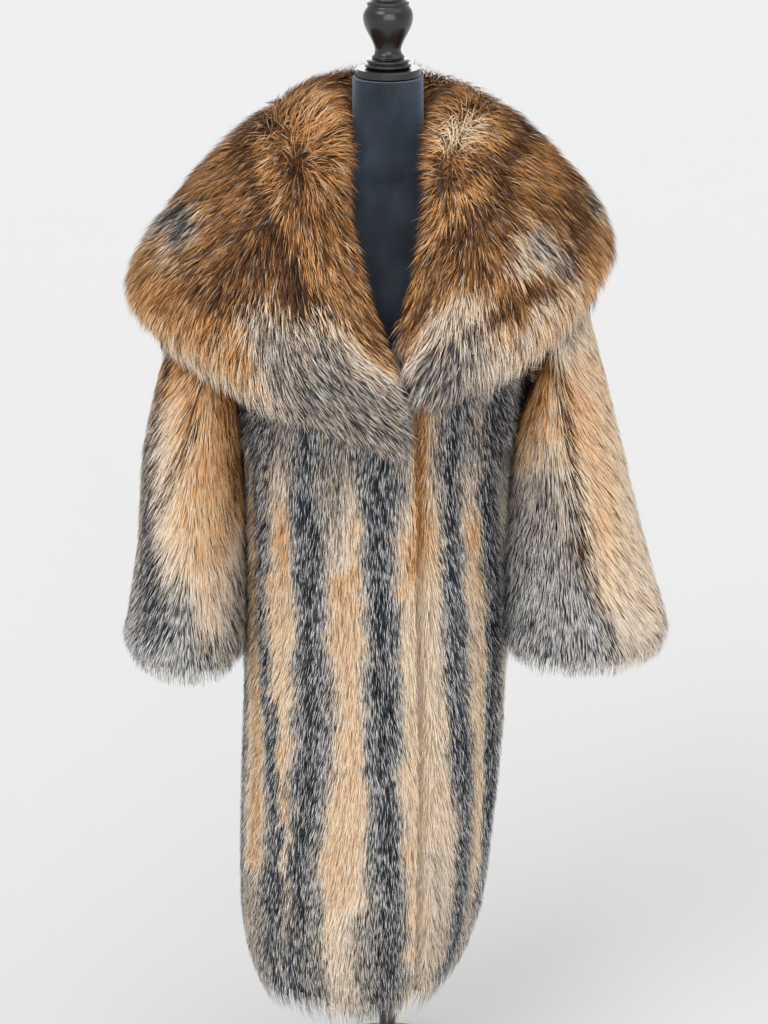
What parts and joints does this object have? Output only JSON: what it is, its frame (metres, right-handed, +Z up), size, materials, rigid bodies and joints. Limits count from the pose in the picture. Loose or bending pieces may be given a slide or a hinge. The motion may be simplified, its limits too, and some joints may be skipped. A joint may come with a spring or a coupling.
{
  "type": "fur coat on a dress form",
  "caption": "Full-length fur coat with a cape-like shawl collar and wide sleeves, lapped at the front, on a limbless velvet dress form and stand.",
  "frame": {"origin": "centre of the stand's base underside, on the floor", "axes": "+Z up along the pole, -Y towards the coat's front, -X towards the wearer's right"},
  "size_m": [0.7559, 0.4674, 1.7007],
  "materials": {
    "fur": "long glossy grizzled fox fur in vertical strips of rust, apricot, cream, silver and charcoal",
    "velvet": "black velvet with a bluish sheen",
    "black_paint": "satin black lacquer"
  },
  "bodies": {
    "root": {"front_right": "fur", "front_left": "fur", "back": "fur", "sleeve_right": "fur", "sleeve_left": "fur", "collar_right": "fur", "collar_left": "fur", "dress_form": "velvet", "neck_cap": "black_paint", "finial": "black_paint", "pole": "black_paint", "pole_socket": "black_paint", "base": "black_paint"}
  },
  "joints": []
}
